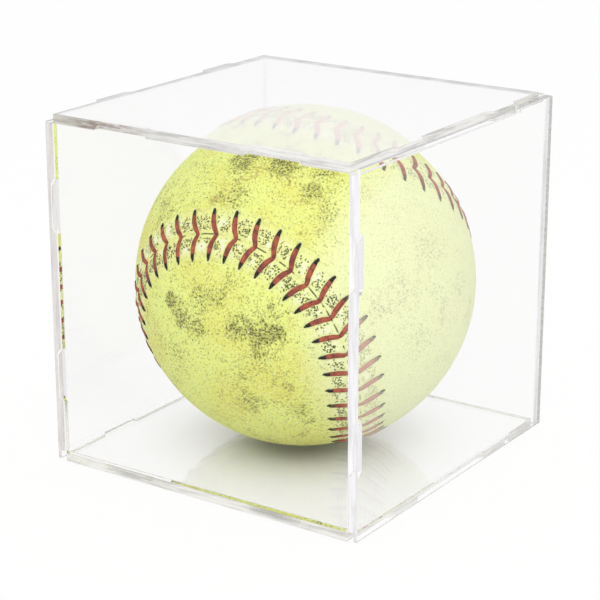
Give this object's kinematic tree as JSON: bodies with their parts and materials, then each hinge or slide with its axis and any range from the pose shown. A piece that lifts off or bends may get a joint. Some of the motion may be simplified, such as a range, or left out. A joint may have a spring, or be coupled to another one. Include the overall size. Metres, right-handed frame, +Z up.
{
  "type": "softball display case",
  "caption": "Clear cube case of two interlocking acrylic half shells that slide apart, showing a stitched yellow softball loose inside.",
  "frame": {"origin": "centre of the case's footprint, on the surface that it stands on", "axes": "+Z up through the top sheet, -Y out of the front sheet, +X to the right side wall; the rear shell slides off along +Y"},
  "size_m": [0.1034, 0.1034, 0.1034],
  "materials": {
    "clear_acrylic": "polished",
    "optic_leather": "satin",
    "pressed_fibre": "matte",
    "waxed_thread": "matte"
  },
  "bodies": {
    "front_shell": {"bottom_panel": "clear_acrylic", "front_panel": "clear_acrylic", "top_panel": "clear_acrylic"},
    "rear_shell": {"left_panel": "clear_acrylic", "right_panel": "clear_acrylic", "rear_panel": "clear_acrylic"},
    "softball": {"ball_core": "pressed_fibre", "cover_panel_a": "optic_leather", "cover_panel_b": "optic_leather", "seam_thread": "waxed_thread"}
  },
  "joints": [
    {"name": "rear_shell_slide", "type": "slide", "parent": "front_shell", "child": "rear_shell", "axis": [0, 1, 0], "range_m": [0, 0.11]},
    {"name": "softball_turn", "type": "hinge", "parent": "front_shell", "child": "softball", "pos_m": [0, 0, 0.0512], "axis": [0, 0, 1], "continuous": true}
  ]
}
